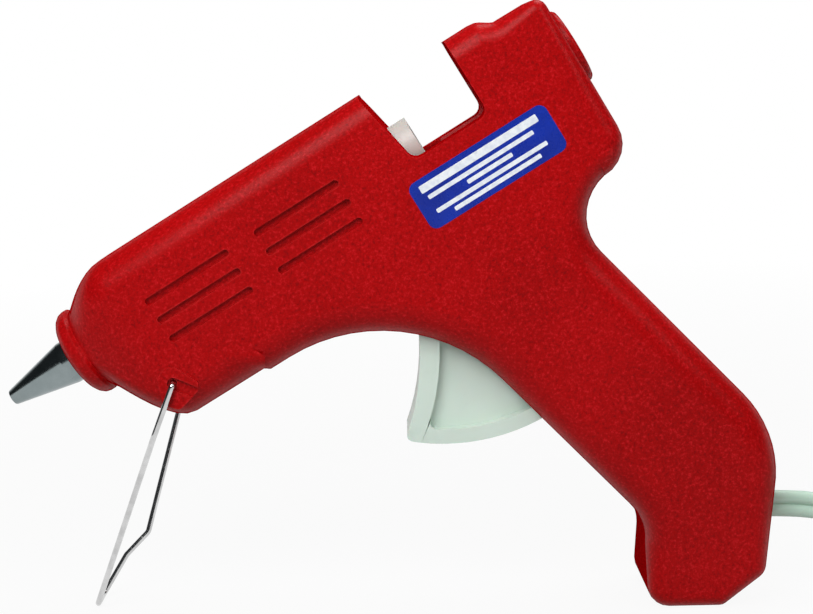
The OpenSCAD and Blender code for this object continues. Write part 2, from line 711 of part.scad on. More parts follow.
// Return spring: one wire, straight at its ends, from the carriage's tail to the post
spring_v = -saddle_low + 1.7;
spring_u = carriage_end + tail_len;
spring_run = spring_end - spring_u - 2 * spring_wire;
SPRING = concat(
    [[spring_u, 0, spring_v + spring_r]],
    [for (k = [0:8 * spring_turns]) [spring_u + spring_wire + spring_run * k / (8 * spring_turns),
        spring_r * sin(45 * k), spring_v + spring_r * cos(45 * k)]],
    [[spring_end, 0, spring_v + spring_r]]
);
module return_spring() color("gray") at_rest()
    skin(tube_rings(SPRING, circle_section(spring_wire / 2, 6), [0, 0, 1]));

// Stand: pins into the casing, a straight near leg, the foot, and a far leg with its jog
function on_leg(z) = stand_top[0] - leg_run * (stand_top[1] - z) / (stand_top[1] - foot_z);
function leg_width(z) =
    lerp(stand_foot / 2, leg_y, min(1, (z - foot_z) / (stand_top[1] - knee_z - foot_z)));
function on_near_leg(z) = [on_leg(z), -leg_width(z), z];
STAND = [
    [stand_top[0], -half_w + pin_in / 2, stand_top[1]], on_near_leg(stand_top[1]),
    on_near_leg(stand_top[1] - knee_z), on_near_leg(foot_z), [on_leg(foot_z), stand_foot / 2, foot_z],
    [on_leg(jog_z - 3), leg_width(jog_z - 3), jog_z - 3],
    [on_leg(jog_z + 3.5) + jog_back, leg_width(jog_z + 3.5), jog_z + 3.5],
    [lerp(stand_top[0], on_leg(jog_z + 3.5) + jog_back, knee_z / (stand_top[1] - jog_z - 3.5)), leg_y,
        stand_top[1] - knee_z],
    [stand_top[0], leg_y, stand_top[1]], [stand_top[0], half_w - pin_in / 2, stand_top[1]]
];
module stand() color("silver") {
    last = len(STAND) - 1;
    bends = [for (i = [1:last - 1])
        each corner_arc(STAND[i - 1], STAND[i], STAND[i + 1], i == 1 || i == last - 1 ? 0.9 : 2, 4)];
    skin(tube_rings(concat([STAND[0]], bends, [STAND[last]]), circle_section(wire_r, 8), [1, 0, 0]));
    for (s = [-1, 1]) pin([stand_top[0], stand_top[1]],
        s < 0 ? -half_w - pad_up : half_w - pin_in, s < 0 ? -half_w + pin_in : half_w + pad_up, pin_r);
}

module rear_bush() color("firebrick") at_rest() turned_about_axis() polygon([
    [bore_r, tower_u], [bush_r, tower_u], [bush_r, rear_u], [collar_r, rear_u],
    [collar_r, rear_u + collar_t - 0.7], [collar_r - 0.7, rear_u + collar_t],
    [bore_r + 0.8, rear_u + collar_t], [bore_r, rear_u + collar_t - 0.8]
]);

module label_plate() color("mediumblue") at_rest() across(-half_w, -half_w + label_t) label_shape(0);

module cord_clamp() color("white") difference() {
    translate([clamp_x, cord_t / 2, exit_z - clamp_half]) cube([clamp_w, clamp_t, 2 * clamp_half]);
    for (s = [-1, 1]) pin([clamp_x + clamp_w / 2, exit_z + s * clamp_screw], 0, 9, 1.2 + fit);
}

module clamp_screws() color("silver") for (s = [-1, 1]) {
    at = [clamp_x + clamp_w / 2, exit_z + s * clamp_screw];
    pin(at, -8.5, cord_t / 2 + clamp_t, 1.2);
    pin(at, cord_t / 2 + clamp_t, cord_t / 2 + clamp_t + 1.6, 2.3);
}

splice_r = 2.1;
splice_z = 2.4;
splice_len = 8;
module splices() color("silver") for (s = [-1, 1])
    translate([cord_in - splice_len, 0, exit_z + s * splice_z]) rotate([0, 90, 0])
        cylinder(h = splice_len, r = splice_r);

// Inner leads: up the handle from the splices, along one side past the trigger, in to the electrode's tab
lead_r = 1;
lead_y = 11;
splice_end = cord_in - splice_len;
tab_u = block_u + block_len + tab_len;
HANDLE_WAY = [[-8, 0.15, 1.4], [-12, 0.35, 6], [-15, 0.7, 12], [-18, 0.95, 18], [-23, 1, 25]];
BARREL_WAY = [[12, -65], [15, -50], [13, -40], [7, -34], [-4, -31.5], [-16, -26], [-26, -19]];
function gun_to_rest(p) = let (q = to_base([p[0], p[2]])) [q[0], p[1], q[1]];
function lead_route(side, z) = concat(
    [[splice_end, 0, z], [splice_end - 2, 0, z]],
    [for (p = HANDLE_WAY) [p[0], side * lead_y * p[1], exit_z + p[2]]],
    [for (p = BARREL_WAY) gun_to_rest([notch_u + p[0], side * lead_y, p[1]])],
    [for (p = [[9, 0.7], [4, 0.3], [0, 0.22]])
        gun_to_rest([tab_u + p[0], side * lead_y * p[1], pack_v - side * (tile_t + electrode_t) / 2])]
);
module lead_wire(side, z) skin(tube_rings(lead_route(side, z), circle_section(lead_r, 8), [0, 0, 1]));
module lead_live() color("white") lead_wire(-1, exit_z + splice_z);
module lead_neutral() color("white") lead_wire(1, exit_z - splice_z);

// Cord: the free stretch to the floor, the hank put away on it, and the tail to the plug
module cord_lead() color("gainsboro") skin(tube_rings(LEAD, flat_section(cord_w, cord_t, 5), [0, 0, 1]));

// The hank's folds in turn, each a radius and the layers it starts and ends in: far end first, near end next
FOLDS = [
    [hank_out, 0, 1], [hank_out, 1, 1], [hank_out, 1, 2], [hank_out, 2, 2], [fold_r, 2, 2], [fold_r, 2, 1],
    [fold_r, 1, 1], [fold_r, 1, 0], [fold_r, 0, 0]
];
fold_steps = 10;
function fold_point(i, k) =
    let (
        side = i % 2 == 0 ? 1 : -1, f = k / fold_steps, a = 180 * f - 90 * side, r = FOLDS[i][0],
        up = lerp(FOLDS[i][1], FOLDS[i][2], eased((f - 0.2) / 0.6))
    )
    [hank_c[0] + side * hank_run / 2 + r * cos(a), hank_c[1] + r * sin(a), cord_z + layer * up];
HANK = concat(
    [[hank_from, hank_side, cord_z], [hank_c[0], hank_side, cord_z]],
    [for (i = [0:len(FOLDS) - 1]) each concat(
        [for (k = [0:fold_steps]) fold_point(i, k)],
        i == len(FOLDS) - 1 ? [] : [(fold_point(i, fold_steps) + fold_point(i + 1, 0)) / 2]
    )],
    [[hank_c[0], hank_c[1] + fold_r, cord_z], [hank_from, hank_c[1] + fold_r, cord_z]]
);
module cord_coil() color("gainsboro") skin(tube_rings(HANK, flat_section(cord_w, cord_t, 2), [0, 0, 1]));

TAIL = [for (k = [0:6]) let (f = k / 6)
    [hank_from - tail_run * f, hank_c[1] + fold_r, lerp(cord_z, plug_z, eased(f))]];
module cord_tail() color("gainsboro") skin(tube_rings(TAIL, flat_section(cord_w, cord_t, 5), [0, 0, 1], 90));

module cord_tie() color("dimgray") translate([hank_c[0], hank_c[1], 0]) rotate([0, 0, 90]) {
    r0 = fold_r - cord_t / 2 - 0.4;
    r1 = hank_out + cord_t / 2 + 0.4;
    z1 = cord_z + 2 * layer + cord_w / 2 + 0.4;
    difference() {
        translate([r0 - tie_t, -tie_w / 2, 0]) cube([r1 - r0 + 2 * tie_t, tie_w, z1 + tie_t]);
        translate([r0, -tie_w, tie_t]) cube([r1 - r0, 2 * tie_w, z1 - tie_t]);
    }
}

// Plug: modelled along Y from the end of the tail
blade_l = 17;
blade_w = 6.35;
blade_t = 1.5;
blade_gap = 12.7;
module at_plug() translate([hank_from - tail_run, hank_c[1] + fold_r, 0]) rotate([0, 0, 90]) children();
module plug_body() color("gainsboro") at_plug() {
    SHAPE = [
        [0, 0.42, 0.5], [0.3, 0.48, 0.55], [0.42, 0.8, 0.85], [0.55, 0.98, 1], [0.9, 1, 1], [1, 0.94, 0.9]
    ];
    difference() {
        skin([for (s = SHAPE) [for (q = flat_section(s[1] * plug_w, s[2] * plug_t, 6))
            [-q[0], plug_len * s[0], plug_z + q[1]]]]);
        for (s = [-1, 1]) translate([s * blade_gap / 2, plug_len, plug_z])
            cube([blade_t + 2 * fit, 16, blade_w + 2 * fit], center = true);
    }
}
module plug_blades() color("goldenrod") at_plug() for (s = [-1, 1])
    translate([(s * blade_gap - blade_t) / 2, plug_len - 8, plug_z - blade_w / 2])
        cube([blade_t, blade_l + 8, blade_w]);

// Least gaps between turns, on the middle of the cord and of the wire
hank_gap = min([for (i = [0:len(HANK) - 7]) for (k = [i + 6:len(HANK) - 1]) let (d = HANK[k] - HANK[i])
    max(norm([d[0], d[1]]) - cord_t, abs(d[2]) - cord_w)]);
spring_gap = min([for (i = [1:len(SPRING) - 6]) for (k = [i + 5:len(SPRING) - 1])
    norm(SPRING[k] - SPRING[i]) - spring_wire]);
echo(hank_gap = hank_gap, spring_gap = spring_gap);

casing_near();
casing_far();
casing_screws();
nozzle();
nose_insulator();
melt_chamber();
heater_tile();
electrode_upper();
electrode_lower();
heater_film();
inlet_sleeve();
sleeve_clamp();
feed_carriage();
stick_gripper();
gripper_pin();
trigger();
trigger_pin();
return_spring();
stand();
rear_bush();
label_plate();
cord_clamp();
clamp_screws();
splices();
lead_live();
lead_neutral();
cord_lead();
cord_coil();
cord_tail();
cord_tie();
plug_body();
plug_blades();
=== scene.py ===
import math

import bmesh
import bpy
from mathutils import Matrix, Vector


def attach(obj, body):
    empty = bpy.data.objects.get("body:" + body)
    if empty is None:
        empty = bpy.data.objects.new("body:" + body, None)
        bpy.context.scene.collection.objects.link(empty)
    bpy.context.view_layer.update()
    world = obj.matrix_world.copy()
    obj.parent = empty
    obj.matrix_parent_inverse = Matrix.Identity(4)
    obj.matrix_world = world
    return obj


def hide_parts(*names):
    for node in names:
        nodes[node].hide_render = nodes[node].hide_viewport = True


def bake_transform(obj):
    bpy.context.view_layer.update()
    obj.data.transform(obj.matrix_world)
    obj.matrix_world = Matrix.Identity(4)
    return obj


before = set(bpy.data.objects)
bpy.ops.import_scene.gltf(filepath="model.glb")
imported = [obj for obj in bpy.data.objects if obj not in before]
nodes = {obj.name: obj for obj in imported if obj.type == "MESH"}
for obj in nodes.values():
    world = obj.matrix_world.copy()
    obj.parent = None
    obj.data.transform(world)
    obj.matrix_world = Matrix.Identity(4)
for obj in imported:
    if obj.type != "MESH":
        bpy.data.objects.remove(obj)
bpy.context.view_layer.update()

# Hot glue applicator: the looks of its pieces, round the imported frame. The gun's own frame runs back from
# the nozzle's tip (u) and up from the stick's axis (v); TO_REST tilts it nose down on to its handle's
# base.

MM = 0.001
TILT = math.radians(31)
BASE_U, BASE_V = 122.436, -139.1
TO_REST = Matrix.Rotation(-TILT, 4, "Y") @ Matrix.Translation((-BASE_U, 0, -BASE_V))
HALF_W = 16.0
QUARTER_TURN, FULL_TURN = math.pi / 2, 2 * math.pi
scene = bpy.context.scene


# Parts of node trees, for the stage and the finishes

def combine(tree, operation, one, other):
    """Two values put together by a Math node; the second may be a plain number."""
    made = tree.nodes.new("ShaderNodeMath")
    made.operation = operation
    tree.links.new(one, made.inputs[0])
    if isinstance(other, (int, float)):
        made.inputs[1].default_value = other
    else:
        tree.links.new(other, made.inputs[1])
    return made.outputs[0]


def map_range(tree, value, from_low, from_high, to_low, to_high):
    """The value carried from one range to another and held at its ends."""
    made = tree.nodes.new("ShaderNodeMapRange")
    ends = {"From Min": from_low, "From Max": from_high, "To Min": to_low, "To Max": to_high}
    for name, end in ends.items():
        made.inputs[name].default_value = end
    tree.links.new(value, made.inputs["Value"])
    return made.outputs["Result"]


def colour_ramp(tree, factor, stops):
    """A colour between two stops, each a position and a colour."""
    made = tree.nodes.new("ShaderNodeValToRGB")
    for element, (position, colour) in zip(made.color_ramp.elements, stops):
        element.position = position
        element.color = (*colour, 1)
    tree.links.new(factor, made.inputs[0])
    return made.outputs["Color"]


def any_ray(tree, *kinds):
    """1 for rays of the kinds named, and 0 for all others."""
    path = tree.nodes.new("ShaderNodeLightPath")
    total = path.outputs[kinds[0]]
    for kind in kinds[1:]:
        total = combine(tree, "MAXIMUM", total, path.outputs[kind])
    return total


def lay_over(tree, below, above, factor):
    """One shader laid over another, as strongly as the factor says."""
    mix = tree.nodes.new("ShaderNodeMixShader")
    tree.links.new(factor, mix.inputs[0])
    tree.links.new(below.outputs[0], mix.inputs[1])
    tree.links.new(above.outputs[0], mix.inputs[2])
    return mix


# Camera, lamps, floor and world, in metres

CAMERA_AT = (-0.073, -0.411, 0.1424)
CAMERA_PITCH, CAMERA_ROLL = math.radians(90 - 8.9), math.radians(-1.2)
SENSOR_MM, LENS_MM = 36, 70.85
CLIP_NEAR, CLIP_FAR = 0.01, 20
AMBIENT = 0.2
BACKDROP_WAY, BACKDROP_FULL = (0, 0.7, -1), 0.5
WHITE_TONE, DARK_TONE = (1, 1, 1), (0.03, 0.033, 0.035)
FLOOR_REACH, FLOOR_DROP = 3, 0.0003
PAPER_TONE, PAPER_ROUGH, PAPER_SHEEN = (0.5, 0.5, 0.5), 0.9, 0.1
FADE_FROM, FADE_TO, WHITE_SHARE = 0.2, 0.7, 0.93


def add_camera():
    data = bpy.data.cameras.new("camera")
    data.sensor_width = SENSOR_MM
    data.lens = LENS_MM
    data.clip_start, data.clip_end = CLIP_NEAR, CLIP_FAR
    camera = bpy.data.objects.new("camera", data)
    turn = Matrix.Rotation(CAMERA_PITCH, 4, "X") @ Matrix.Rotation(CAMERA_ROLL, 4, "Z")
    camera.matrix_world = Matrix.Translation(CAMERA_AT) @ turn
    scene.collection.objects.link(camera)
    scene.camera = camera


def add_lamp(name, at, aim, size, watts):
    data = bpy.data.lights.new(name, "AREA")
    data.shape = "DISK"
    data.size = size
    data.energy = watts
    lamp = bpy.data.objects.new(name, data)
    lamp.location = at
    lamp.rotation_euler = (Vector(aim) - Vector(at)).to_track_quat("-Z", "Y").to_euler()
    scene.collection.objects.link(lamp)


def add_world():
    """Even light on the object, a white backdrop, and in bright metal that backdrop and a dark room."""
    world = bpy.data.worlds.new("studio")
    world.use_nodes = True
    scene.world = world
    tree = world.node_tree
    room = tree.nodes["Background"]
    room.inputs["Color"].default_value = (*WHITE_TONE, 1)
    room.inputs["Strength"].default_value = AMBIENT
    # the backdrop rises behind the object; overhead and on the camera's side the room is dark
    way = tree.nodes.new("ShaderNodeTexCoord")
    rise = tree.nodes.new("ShaderNodeVectorMath")
    rise.operation = "DOT_PRODUCT"
    rise.inputs[1].default_value = BACKDROP_WAY
    tree.links.new(way.outputs["Generated"], rise.inputs[0])
    mirrored = tree.nodes.new("ShaderNodeBackground")
    view = colour_ramp(tree, rise.outputs["Value"], [(0, DARK_TONE), (BACKDROP_FULL, WHITE_TONE)])
    tree.links.new(view, mirrored.inputs["Color"])
    white = tree.nodes.new("ShaderNodeBackground")
    white.inputs["Color"].default_value = (*WHITE_TONE, 1)
    shown = lay_over(tree, room, mirrored, any_ray(tree, "Is Glossy Ray", "Is Transmission Ray"))
    shown = lay_over(tree, shown, white, any_ray(tree, "Is Camera Ray"))
    tree.links.new(shown.outputs[0], tree.nodes["World Output"].inputs["Surface"])


def add_floor():
    """A pale floor that holds a faint shadow near the object and runs out into the white backdrop."""
    bm = bmesh.new()
    bmesh.ops.create_grid(bm, x_segments=1, y_segments=1, size=FLOOR_REACH)
    bmesh.ops.translate(bm, verts=bm.verts, vec=(0, 0, -FLOOR_DROP))
    mesh = bpy.data.meshes.new("floor")
    bm.to_mesh(mesh)
    bm.free()
    material = bpy.data.materials.new("pale_floor")
    material.use_nodes = True
    tree = material.node_tree
    paper = tree.nodes["Principled BSDF"]
    paper.inputs["Base Color"].default_value = (*PAPER_TONE, 1)
    paper.inputs["Roughness"].default_value = PAPER_ROUGH
    paper.inputs["Specular IOR Level"].default_value = PAPER_SHEEN
    white = tree.nodes.new("ShaderNodeEmission")
    white.inputs["Strength"].default_value = 1
    way = tree.nodes.new("ShaderNodeTexCoord")
    distance = tree.nodes.new("ShaderNodeVectorMath")
    distance.operation = "LENGTH"
    tree.links.new(way.outputs["Object"], distance.inputs[0])
    share = map_range(tree, distance.outputs["Value"], FADE_FROM, FADE_TO, WHITE_SHARE, 1)
    seen = any_ray(tree, "Is Camera Ray", "Is Glossy Ray", "Is Transmission Ray")
    surface = lay_over(tree, paper, white, combine(tree, "MULTIPLY", seen, share))
    tree.links.new(surface.outputs[0], tree.nodes["Material Output"].inputs["Surface"])
    mesh.materials.append(material)
    floor = bpy.data.objects.new("floor", mesh)
    scene.collection.objects.link(floor)


scene.view_settings.view_transform = "Standard"
add_camera()
add_lamp("key_lamp", at=(-0.2, -0.32, 0.4), aim=(-0.06, 0, 0.13), size=0.34, watts=1.88)
add_lamp("top_lamp", at=(0.15, 0.3, 0.9), aim=(-0.05, 0, 0.1), size=0.6, watts=4.4)
add_lamp("side_lamp", at=(0.34, -0.32, 0.44), aim=(-0.02, 0, 0.14), size=0.3, watts=0.75)
add_world()
add_floor()


# Finishes: each is a node material on Object coordinates, with its own colour drift, gloss and relief

MIX_BELOW, MIX_ABOVE, MIX_RESULT = 6, 7, 2  # the colour sockets of a Mix node
NOISE_LOW, NOISE_HIGH = 0.3, 0.7  # what most of a noise texture lies between
WAVE_RATE = 20  # radians of a wave texture in one unit, at a scale of 1


class Finish:
    """A Principled material that is built up step by step."""

    def __init__(self, name):
        self.material = bpy.data.materials.new(name)
        self.material.use_nodes = True
        self.tree = self.material.node_tree
        self.shader = self.tree.nodes["Principled BSDF"]
        self.normal = None

    def join(self, source, target):
        self.tree.links.new(source, target)

    def node(self, kind, **settings):
        made = self.tree.nodes.new("ShaderNode" + kind)
        for name, value in settings.items():
            setattr(made, name, value)
        return made

    def set(self, **values):
        for name, value in values.items():
            self.shader.inputs[name.replace("_", " ")].default_value = value

    def place(self, turn=(0, 0, 0)):
        """Object coordinates, turned."""
        mapping = self.node("Mapping")
        mapping.inputs["Rotation"].default_value = turn
        self.join(self.node("TexCoord").outputs["Object"], mapping.inputs["Vector"])
        return mapping.outputs["Vector"]

    def noise(self, size_mm, detail=2, rough=0.5):
        texture = self.node("TexNoise")
        texture.inputs["Scale"].default_value = 1 / MM / size_mm
        texture.inputs["Detail"].default_value = detail
        texture.inputs["Roughness"].default_value = rough
        self.join(self.place(), texture.inputs["Vector"])
        return texture.outputs["Fac"]

    def bands(self, spacing_mm, turn):
        """Even lines across the turned X, as a tool or a die leaves them."""
        texture = self.node("TexWave", wave_type="BANDS", bands_direction="X", wave_profile="SIN")
        texture.inputs["Scale"].default_value = FULL_TURN / (WAVE_RATE * spacing_mm * MM)
        texture.inputs["Distortion"].default_value = 0.4
        texture.inputs["Detail"].default_value = 2
        self.join(self.place(turn), texture.inputs["Vector"])
        return texture.outputs["Fac"]

    def ramp(self, factor, stops):
        return colour_ramp(self.tree, factor, stops)

    def mask(self, factor, low, high):
        """0 below the low value, 1 above the high one."""
        return map_range(self.tree, factor, low, high, 0, 1)

    def times(self, one, other):
        return combine(self.tree, "MULTIPLY", one, other)

    def over(self, below, above, factor):
        """A plain colour laid over what is below, as strongly as the factor says."""
        made = self.node("Mix", data_type="RGBA")
        self.join(factor, made.inputs["Factor"])
        self.join(below, made.inputs[MIX_BELOW])
        made.inputs[MIX_ABOVE].default_value = (*above, 1)
        return made.outputs[MIX_RESULT]

    def edges(self, radius_mm, low, high):
        """1 along the outer and inner edges of the piece, and 0 on its open faces."""
        bevel = self.node("Bevel", samples=4)
        bevel.inputs["Radius"].default_value = radius_mm * MM
        true = self.node("NewGeometry")
        dot = self.node("VectorMath", operation="DOT_PRODUCT")
        self.join(bevel.outputs[0], dot.inputs[0])
        self.join(true.outputs["Normal"], dot.inputs[1])
        return self.mask(dot.outputs["Value"], high, low)

    def colour(self, output):
        self.join(output, self.shader.inputs["Base Color"])

    def gloss(self, factor, low, high):
        """Roughness that drifts between two values with a noise."""
        rough = map_range(self.tree, factor, NOISE_LOW, NOISE_HIGH, low, high)
        self.join(rough, self.shader.inputs["Roughness"])

    def front_sheen(self, level, fade_from, fade_to):
        """Reflection at its full level on faces turned to the eye, and none on those seen edge on."""
        turned = self.node("LayerWeight").outputs["Facing"]
        sheen = map_range(self.tree, turned, fade_from, fade_to, level, 0)
        self.join(sheen, self.shader.inputs["Specular IOR Level"])

    def relief(self, height, depth_mm, strength):
        """Fine relief, on top of any laid before it."""
        made = self.node("Bump")
        made.inputs["Strength"].default_value = strength
        made.inputs["Distance"].default_value = depth_mm * MM
        self.join(height, made.inputs["Height"])
        if self.normal is not None:
            self.join(self.normal, made.inputs["Normal"])
        self.normal = made.outputs["Normal"]
        self.join(self.normal, self.shader.inputs["Normal"])


def srgb(r, g, b):
    """Linear colour from the 0 to 255 values of a screen."""
    return tuple(
        c / 12.92 if c <= 0.04045 else ((c + 0.055) / 1.055) ** 2.4 for c in (r / 255, g / 255, b / 255)
    )


def red_moulding():
    """Red moulded plastic with the fine grain of an etched mould, and a painted highlight that makes it a
    little paler along its edges.
    """
    f = Finish("red_moulding")
    base = f.ramp(f.noise(38, detail=3), [(0.35, srgb(156, 2, 3)), (0.62, srgb(168, 3, 5))])
    speck = f.noise(0.75, detail=3, rough=0.65)
    base = f.over(base, srgb(204, 26, 34), f.times(f.mask(speck, 0.53, 0.7), 0.7))
    base = f.over(base, srgb(118, 2, 5), f.times(f.mask(speck, 0.47, 0.3), 0.7))
    # painted highlight: the colour goes paler along the edges, in patches where a noise allows
    edge_highlight = f.times(f.edges(0.7, 0.75, 0.98), f.mask(f.noise(9, detail=4), 0.35, 0.7))
    base = f.over(base, srgb(214, 52, 52), f.times(edge_highlight, 0.55))
    f.colour(base)
    f.gloss(speck, 0.4, 0.3)
    f.relief(f.noise(11), 0.05, 0.35)
    f.relief(speck, 0.09, 0.55)
    f.front_sheen(0.1, 0.55, 0.8)
    return f.material


def satin_moulding(name, light, dark, handled, speck_mm=0.5, rough=(0.34, 0.46), soft=0.06):
    """Plain moulded plastic: slight clouding, a fine skin, and patches of a handled tone."""
    f = Finish(name)
    base = f.ramp(f.noise(26, detail=3), [(0.34, dark), (0.66, light)])
    patches = f.mask(f.noise(7, detail=4, rough=0.6), 0.56, 0.8)
    f.colour(f.over(base, handled, f.times(patches, 0.35)))
    f.gloss(f.noise(4, detail=3), *rough)
    f.relief(f.noise(speck_mm), 0.02, 0.3)
    f.relief(f.noise(14), 0.05, 0.2)
    f.set(Subsurface_Weight=soft, Subsurface_Scale=2 * MM)
    return f.material


def metal(name, light, dark, rough, spacing_mm, turn, depth_mm, tint=None):
    """Metal with the lines its tool left, drifting in tone and gloss."""
    f = Finish(name)
    base = f.ramp(f.noise(6, detail=4), [(0.32, dark), (0.68, light)])
    if tint:
        base = f.over(base, tint, f.times(f.mask(f.noise(12, detail=3), 0.5, 0.75), 0.45))
    f.colour(base)
    f.gloss(f.noise(1.6, detail=3), *rough)
    f.relief(f.bands(spacing_mm, turn), depth_mm, 0.3)
    f.relief(f.noise(0.8), depth_mm, 0.25)
    f.set(Metallic=1.0)
    return f.material


def label_film():
    """Glossy blue film."""
    f = Finish("label_film")
    f.colour(f.ramp(f.noise(9, detail=3), [(0.35, srgb(4, 35, 140)), (0.65, srgb(6, 43, 158))]))
    f.gloss(f.noise(2, detail=3), 0.22, 0.32)
    f.relief(f.noise(5), 0.02, 0.35)
    f.set(Specular_IOR_Level=0.3)
    return f.material


def label_ink():
    """White print on the film."""
    f = Finish("label_ink")
    f.colour(f.ramp(f.noise(1.2, detail=3), [(0.35, srgb(216, 222, 232)), (0.65, srgb(236, 240, 244))]))
    f.gloss(f.noise(2, detail=3), 0.3, 0.42)
    f.relief(f.noise(0.4), 0.01, 0.3)
    return f.material


def cord_vinyl():
    """Pale grey-green vinyl of the cord and plug, a little scuffed, with a slight sheen."""
    f = Finish("cord_vinyl")
    base = f.ramp(f.noise(18, detail=3), [(0.35, srgb(183, 213, 196)), (0.65, srgb(193, 222, 205))])
    scuff = f.mask(f.noise(3, detail=5, rough=0.7), 0.6, 0.78)
    f.colour(f.over(base, srgb(150, 162, 154), f.times(scuff, 0.25)))
    f.gloss(f.noise(2.5, detail=3), 0.32, 0.46)
    f.relief(f.noise(0.6), 0.02, 0.3)
    f.set(Subsurface_Weight=0.05, Subsurface_Scale=1 * MM)
    return f.material


def wire_chrome():
    """Bright plated wire with faint drawing marks."""
    f = Finish("wire_chrome")
    f.colour(f.ramp(f.noise(3, detail=4), [(0.35, (0.54, 0.54, 0.54)), (0.65, (0.68, 0.68, 0.68))]))
    f.gloss(f.noise(0.9, detail=3), 0.1, 0.2)
    f.relief(f.noise(0.5, detail=3), 0.008, 0.3)
    f.set(Metallic=1.0)
    return f.material


RED = red_moulding()
PALE = satin_moulding("pale_moulding", srgb(214, 230, 219), srgb(204, 221, 210), srgb(188, 203, 192))
CREAM = satin_moulding("cream_moulding", srgb(199, 199, 193), srgb(191, 191, 185), srgb(176, 174, 164))
WHITE = satin_moulding("white_moulding", srgb(232, 232, 228), srgb(222, 222, 217), srgb(200, 199, 192))
TAN = satin_moulding(
    "tan_insulator", srgb(196, 170, 128), srgb(178, 150, 108), srgb(140, 112, 76), 0.7, (0.5, 0.65)
)
SILICONE = satin_moulding(
    "red_silicone", srgb(206, 128, 108), srgb(190, 110, 92), srgb(160, 88, 74), 0.4, (0.4, 0.5)
)
CERAMIC = satin_moulding(
    "heater_ceramic", srgb(86, 84, 82), srgb(66, 64, 62), srgb(44, 42, 40), 0.25, (0.6, 0.75), soft=0
)
FILM = satin_moulding(
    "amber_film", srgb(216, 146, 48), srgb(196, 122, 30), srgb(150, 86, 16), 0.6, (0.15, 0.25)
)
DARK = satin_moulding(
    "dark_tie", srgb(44, 44, 46), srgb(32, 32, 34), srgb(70, 70, 70), 0.4, (0.4, 0.55), soft=0
)
JACKET = satin_moulding(
    "lead_jacket", srgb(232, 230, 224), srgb(220, 217, 210), srgb(196, 190, 178), 0.3, (0.4, 0.5)
)
NOZZLE_METAL = metal(
    "turned_metal", (0.28, 0.325, 0.33), (0.22, 0.26, 0.265), (0.13, 0.2), 0.32, (0, TILT, 0), 0.008,
    tint=(0.21, 0.23, 0.225),
)
CAST = metal("cast_metal", (0.66, 0.66, 0.66), (0.52, 0.52, 0.53), (0.38, 0.55), 0.9, (0, 0.3, 0.4), 0.02)
STEEL = metal("plain_steel", (0.60, 0.60, 0.61), (0.46, 0.46, 0.47), (0.24, 0.36), 0.25, (0.5, 0, 0), 0.008)
BRASS = metal("plain_brass", (0.80, 0.62, 0.30), (0.66, 0.48, 0.20), (0.22, 0.34), 0.3, (0, 0, 0.8), 0.008)
CHROME = wire_chrome()
BLUE = label_film()
INK = label_ink()
VINYL = cord_vinyl()


# Making pieces

EDGE_TURN, EDGE_STEPS, EDGE_FLOW = math.radians(40), 2, 60
MERGE_WITHIN, FLAT_WITHIN = 2e-6, math.radians(0.6)  # metres and an angle, for the frame's facets
WELD_WITHIN = 1e-4  # millimetres, where a turned form closes on itself


def add_piece(name, bm, body, materials, replaced, in_gun=False, metres=False, smooth=35):
    """A piece from a bmesh, riding on its body, if it has one, and standing for the nodes named."""
    if in_gun:
        bm.transform(TO_REST)
    if not metres:
        bmesh.ops.scale(bm, vec=(MM, MM, MM), verts=bm.verts)
    mesh = bpy.data.meshes.new(name)
    bm.to_mesh(mesh)
    bm.free()
    for material in materials:
        mesh.materials.append(material)
    for face in mesh.polygons:
        face.use_smooth = True
    mesh.set_sharp_from_angle(angle=math.radians(smooth))
    piece = bpy.data.objects.new(name, mesh)
    scene.collection.objects.link(piece)
    if body:
        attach(piece, body)
    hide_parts(*replaced)
    return piece


def round_edges(piece, width_mm):
    """The small rounding that moulds and dies leave on every edge."""
    bevel = piece.modifiers.new("edge rounding", "BEVEL")
    bevel.width = width_mm * MM
    bevel.segments = EDGE_STEPS
    bevel.limit_method = "ANGLE"
    bevel.angle_limit = EDGE_TURN
    bevel.use_clamp_overlap = True
    bevel.miter_outer = "MITER_ARC"
    flow = piece.modifiers.new("even shading", "WEIGHTED_NORMAL")
    flow.mode = "FACE_AREA"
    flow.weight = EDGE_FLOW
    flow.keep_sharp = True


def moulded(node, name, body, material, width_mm):
    """A node's own form with merged facets and rounded edges."""
    bm = bmesh.new()
    bm.from_mesh(nodes[node].data)
    bmesh.ops.remove_doubles(bm, verts=bm.verts, dist=MERGE_WITHIN)
    bmesh.ops.dissolve_limit(bm, angle_limit=FLAT_WITHIN, verts=bm.verts, edges=bm.edges)
    piece = add_piece(name, bm, body, [material], [node], metres=True)
    round_edges(piece, width_mm)


def spun(profile, steps):
    """A closed profile of (along X, out) points turned once round the X axis."""
    bm = bmesh.new()
    corners = [bm.verts.new((u, 0, r)) for u, r in profile]
    edges = [bm.edges.new((a, b)) for a, b in zip(corners, corners[1:] + corners[:1])]
    bmesh.ops.spin(
        bm, geom=corners + edges, cent=(0, 0, 0), axis=(1, 0, 0), angle=FULL_TURN, steps=steps,
        use_merge=True, use_duplicate=False,
    )
    bmesh.ops.remove_doubles(bm, verts=bm.verts, dist=WELD_WITHIN)
    bmesh.ops.recalc_face_normals(bm, faces=bm.faces)
    return bm


def rounded_path(points, radii, steps=8):
    """A path whose inner corners are arcs of the radii given."""
    points = [Vector(p) for p in points]
    path = [points[0]]
    for before, at, after, radius in zip(points, points[1:], points[2:], radii):
        a, b = (before - at).normalized(), (after - at).normalized()
        half = a.angle(b) / 2
        reach = radius / math.tan(half)
        middle = at + (a + b).normalized() * radius / math.sin(half)
        start = (at + a * reach - middle).normalized()
        end = (at + b * reach - middle).normalized()
        path += [middle + radius * start.slerp(end, k / steps) for k in range(steps + 1)]
    return path + [points[-1]]


